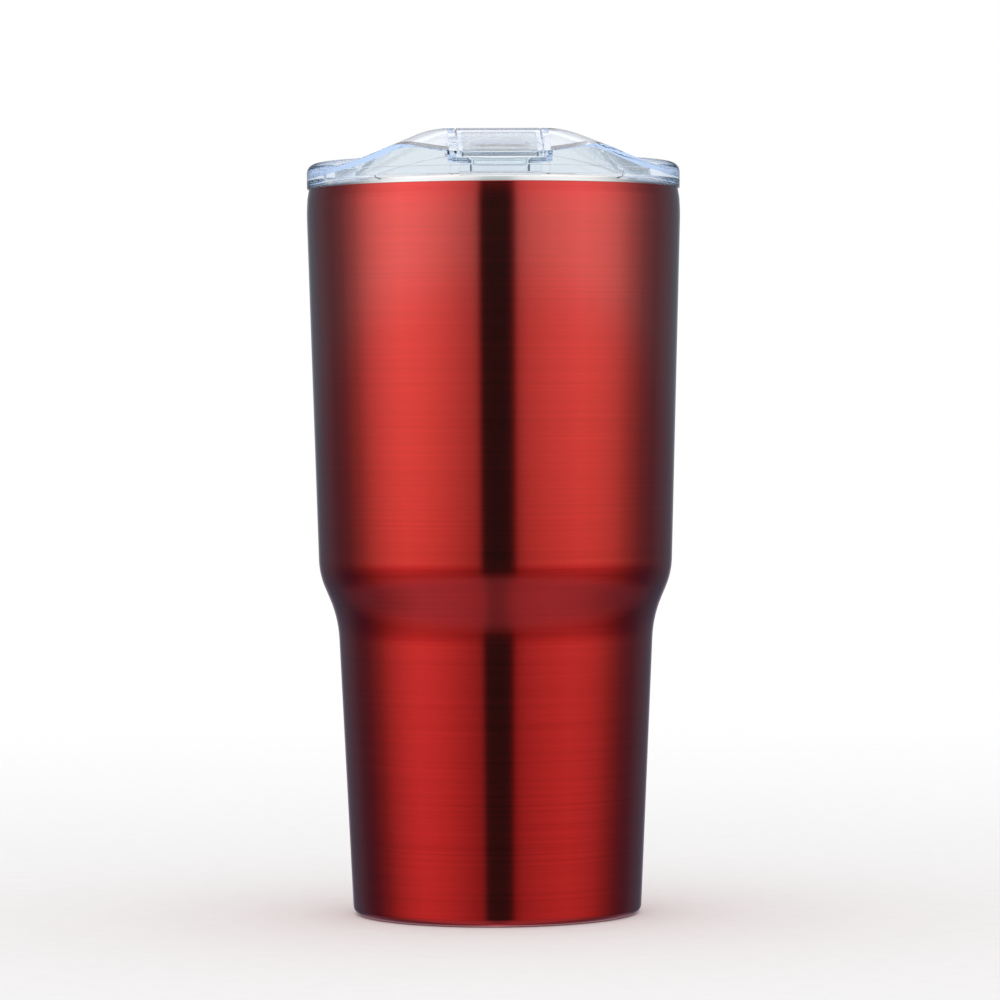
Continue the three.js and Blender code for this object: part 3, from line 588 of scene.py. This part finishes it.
def outside_of(radius):
    """Everything outside a radius, as a ring."""
    return turn("tool", [
        (radius, skirt_bottom - 3), (lid_radius + 3, skirt_bottom - 3), (lid_radius + 3, above),
        (radius, above)])


def hole_slot(margin, bottom, top):
    """The drinking hole's rounded slot, made smaller by a margin."""
    half = 7.5 - margin
    deep = 2.7 - margin
    return slab("tool", rounded([
        (-half, hole_y - deep, deep), (half, hole_y - deep, deep), (half, hole_y + deep, deep),
        (-half, hole_y + deep, deep)], 9), "z", bottom, top)


def hinge_rod(name, radius, half):
    """A round bar on the hinge line."""
    bar = turn(name, [(0, -half), (radius, -half), (radius, half), (0, half)], ring=False, around=48)
    bpy.ops.object.mode_set(mode="EDIT")
    bpy.ops.mesh.select_all(action="SELECT")
    bpy.ops.transform.rotate(value=math.pi / 2, orient_axis="Y", center_override=(0, 0, 0))
    bpy.ops.transform.translate(value=(0, hinge_y * 0.001, hinge_z * 0.001))
    bpy.ops.object.mode_set(mode="OBJECT")
    return bar


lid_outline = rounded([
    (0, deck_bottom), (plug_inside, deck_bottom, 1.2), (plug_inside, plug_bottom, 0.4),
    (plug_radius, plug_bottom, 0.8), (plug_radius, groove_bottom), (groove_radius, groove_bottom),
    (groove_radius, groove_bottom + 3.6), (plug_radius, groove_bottom + 3.6), (plug_radius, ring_seat, 0.3),
    (lip_top_radius + 0.15, ring_seat, 0.9), (lip_outside + 0.15, skirt_bottom),
    (lid_radius, skirt_bottom, 0.15), (lid_radius, ring_top, 2.6), (lid_radius - 5.0, ring_top, 0.8),
    (lid_radius - 6.0, deck_top, 0.8), (0, deck_top)], 8)
clear_lid = turn("clear_lid", lid_outline, ring=False, around=192)
combine(clear_lid, spout_block(0, core_of(lid_radius, deck_top - 1, above)), "UNION")
inner_core = turn("tool", [
    (0, deck_bottom - 1), (plug_inside, deck_bottom - 1), (plug_inside, ring_seat + 2),
    (lid_radius - 4.4, ring_seat + 2), (lid_radius - 4.4, above), (0, above)], ring=False, around=192)
hollow = spout_block(spout_wall, inner_core)
combine(hollow, channel_block(channel_depth + spout_wall, channel_half + spout_wall), "DIFFERENCE")
combine(clear_lid, hollow, "DIFFERENCE")
combine(clear_lid, channel_block(channel_depth, channel_half), "DIFFERENCE")

gap_foot = skirt_bottom - 1
gap = slab("gap", [
    (-channel_half, gap_foot), (channel_half, gap_foot), (channel_half, above), (-channel_half, above)],
    "y", -lid_radius - 2, -lid_radius / 2)
notch_half = 12.3
notch_top = ring_seat + 2.6
notch = slab("tool", rounded([
    (-notch_half, gap_foot), (notch_half, gap_foot), (notch_half, notch_top, 0.5),
    (-notch_half, notch_top, 0.5)], 15), "y", -lid_radius - 2, -lid_radius / 2)
combine(gap, notch, "UNION")
combine(gap, outside_of(lid_radius - 2.75), "INTERSECT")
combine(clear_lid, gap, "DIFFERENCE")

arch_half = 30.6
arch_rise = 5.0
arch_radius = (arch_half ** 2 + arch_rise ** 2) / (2 * arch_rise)
arch_centre = ring_top + 0.45 - arch_radius
sweep = math.asin(arch_half / arch_radius)
arch = [(arch_radius * math.sin(a), arch_centre + arch_radius * math.cos(a))
        for a in (sweep * (1 - k / 20) for k in range(41))]
recess = slab("recess", [(-arch_half, gap_foot), (arch_half, gap_foot), *arch], "y", -lid_radius - 2, 0)
combine(recess, outside_of(lid_radius - 1.3), "INTERSECT")
combine(clear_lid, recess, "DIFFERENCE")
relief = 1.7 * (lid_radius + 2) / lid_radius
wedge = slab("tool", [
    (0, skirt_bottom), (-lid_radius - 2, gap_foot), (-lid_radius - 2, skirt_bottom + relief)],
    "x", -lid_radius - 2, lid_radius + 2)
combine(clear_lid, wedge, "DIFFERENCE")
combine(clear_lid, hole_slot(0, deck_bottom, spout_top), "DIFFERENCE")
combine(clear_lid, hinge_rod("tool", 1.45, tab_half + 1.9), "DIFFERENCE")
vent = turn("tool", [(0, deck_bottom - 1), (1.3, deck_bottom - 1), (1.3, deck_top + 1), (0, deck_top + 1)],
            ring=False, around=32, centre=(0, 30))
combine(clear_lid, vent, "DIFFERENCE")

clear_plastic = bpy.data.materials.new("clear_plastic")
clear_plastic.use_nodes = True
tree = clear_plastic.node_tree
gloss = tree.nodes["Principled BSDF"]
place = add(tree, "ShaderNodeTexCoord")
flow = add(tree, "ShaderNodeTexNoise", {}, {"Scale": 45.0, "Detail": 1.5})
haze = ramp(tree, [(0.3, 0.0), (0.7, 0.008)])
drift = add(tree, "ShaderNodeBump", {}, {"Strength": 0.02, "Distance": 0.0002})
tinted = add(tree, "ShaderNodeVolumeAbsorption", {}, {"Color": (0.62, 0.78, 1.0, 1.0), "Density": 16.0})
out = tree.nodes["Material Output"]
join(tree, place, "Object", flow, "Vector", flow, "Fac", haze, "Fac", haze, "Color", gloss, "Roughness")
join(tree, flow, "Fac", drift, "Height", drift, 0, gloss, "Normal", tinted, 0, out, "Volume")
gloss.inputs["Base Color"].default_value = (0.945, 0.972, 1.0, 1.0)
gloss.inputs["Transmission Weight"].default_value = 1.0
gloss.inputs["IOR"].default_value = 1.49
finish_piece(clear_lid, clear_plastic, "lid", "clear_plastic", "lid_body")

# ---- lid gasket ----------------------------------------------------------------------------------
# A soft silicone ring stretched into the plug's groove, with two lips that wipe the steel wall and
# keep the lid in the mouth.
gasket_bottom = groove_bottom + 0.15
gasket_top = groove_bottom + 3.45
gasket_skin = plug_radius + 0.1
wiper = bore_radius - 0.12
gasket_outline = rounded([
    (groove_radius + 0.15, gasket_bottom, 0.2), (gasket_skin, gasket_bottom, 0.2),
    (wiper, gasket_bottom + 1.1, 0.15), (gasket_skin, gasket_bottom + 1.4, 0.2),
    (gasket_skin, gasket_top - 1.1, 0.2), (wiper, gasket_top - 0.3, 0.15),
    (gasket_skin, gasket_top, 0.2), (groove_radius + 0.15, gasket_top, 0.2)], 20)
gasket = turn("gasket_ring", gasket_outline)
silicone = bpy.data.materials.new("silicone")
silicone.use_nodes = True
tree = silicone.node_tree
gloss = tree.nodes["Principled BSDF"]
place = add(tree, "ShaderNodeTexCoord")
milk = add(tree, "ShaderNodeTexNoise", {}, {"Scale": 220.0, "Detail": 3.0})
tint = ramp(tree, [(0.3, (0.70, 0.74, 0.78)), (0.7, (0.80, 0.83, 0.86))])
skin = add(tree, "ShaderNodeBump", {}, {"Strength": 0.08, "Distance": 0.0001})
join(tree, place, "Object", milk, "Vector", milk, "Fac", tint, "Fac", tint, "Color", gloss, "Base Color")
join(tree, milk, "Fac", skin, "Height", skin, 0, gloss, "Normal")
gloss.inputs["Roughness"].default_value = 0.42
gloss.inputs["Transmission Weight"].default_value = 0.35
gloss.inputs["IOR"].default_value = 1.41
finish_piece(gasket, silicone, "lid", "silicone", "lid_gasket")

# ---- flip tab ------------------------------------------------------------------------------------
# A clear moulding that turns on two pins. Its front wall hangs down in the gap of the ring.
tab_foot = cup_height + 0.3
tab_front = lid_radius - 0.4


def tab_side(inset, bottom, back):
    """Side outline of the tab's plate, with the front wall and slope."""
    lower = inset * math.hypot(1, slope_rise)
    crest = slope_length - lid_radius + (lower - inset) / slope_rise
    return rounded([
        (-lid_radius - 1, bottom), (-lid_radius - 1, slope_foot - lower - slope_rise),
        (crest, spout_top - inset, 9), (back, spout_top - inset), (back, bottom)], 4)


flip_tab = slab("flip_cover", tab_side(0, tab_foot, hinge_y), "x", -tab_half, tab_half)
combine(flip_tab, core_of(tab_front, tab_foot - 2, above), "INTERSECT")
under = slab("under", tab_side(tab_wall, tab_foot - 1, hinge_y + 1), "x", -tab_half - 1, tab_half + 1)
combine(under, core_of(tab_front - tab_wall, tab_foot - 2, above), "INTERSECT")
combine(flip_tab, under, "DIFFERENCE")
combine(flip_tab, hinge_rod("tool", 1.8, tab_half), "UNION")
combine(flip_tab, hinge_rod("tool", 1.25, tab_half + 1.7), "UNION")


pad_half = 9.2


def slope_layer(name, shallow, deep, grow):
    """A layer under the tab's slope, as long and wide as the seal's pad."""
    half = pad_half + grow
    front, back = hole_y - 5.5 - grow, hole_y + 6.9 + grow
    layer = slab(name, tab_side(shallow, deck_bottom - 2, hinge_y), "x", -tab_half - 1, tab_half + 1)
    below = slab("tool", tab_side(deep, deck_bottom - 3, hinge_y + 1), "x", -tab_half - 2, tab_half + 2)
    combine(layer, below, "DIFFERENCE")
    outline = rounded([(-half, front, 1), (half, front, 1), (half, back, 1), (-half, back, 1)], 15)
    return combine(layer, slab("tool", outline, "z", deck_bottom - 2, above), "INTERSECT")


combine(flip_tab, slope_layer("tool", tab_wall - 0.8, tab_wall + 1, 0.1), "DIFFERENCE")
finish_piece(flip_tab, clear_plastic, "tab", "clear_plastic", "flip_tab")

# ---- tab seal ------------------------------------------------------------------------------------
# A clear silicone pad pressed into a pocket under the tab's slope. Its plug fills the drinking hole
# when the tab is down.
tab_plug = slope_layer("tab_plug", tab_wall - 0.7, tab_wall, 0)
stem = slab("stem", tab_side(tab_wall - 0.7, deck_bottom - 2, hinge_y), "x", -tab_half - 1, tab_half + 1)
below = slab("tool", tab_side(5.4, deck_bottom - 3, hinge_y + 1), "x", -tab_half - 2, tab_half + 2)
combine(stem, below, "DIFFERENCE")
combine(stem, hole_slot(0.5, deck_bottom - 2, above), "INTERSECT")
combine(tab_plug, stem, "UNION")
clear_silicone = bpy.data.materials.new("clear_silicone")
clear_silicone.use_nodes = True
tree = clear_silicone.node_tree
gloss = tree.nodes["Principled BSDF"]
place = add(tree, "ShaderNodeTexCoord")
bloom = add(tree, "ShaderNodeTexNoise", {}, {"Scale": 160.0, "Detail": 2.0})
film = ramp(tree, [(0.3, 0.24), (0.7, 0.32)])
join(tree, place, "Object", bloom, "Vector", bloom, "Fac", film, "Fac", film, "Color", gloss, "Roughness")
gloss.inputs["Base Color"].default_value = (0.97, 1.0, 0.985, 1.0)
gloss.inputs["Transmission Weight"].default_value = 1.0
gloss.inputs["IOR"].default_value = 1.2
finish_piece(tab_plug, clear_silicone, "tab", "silicone", "tab_seal")
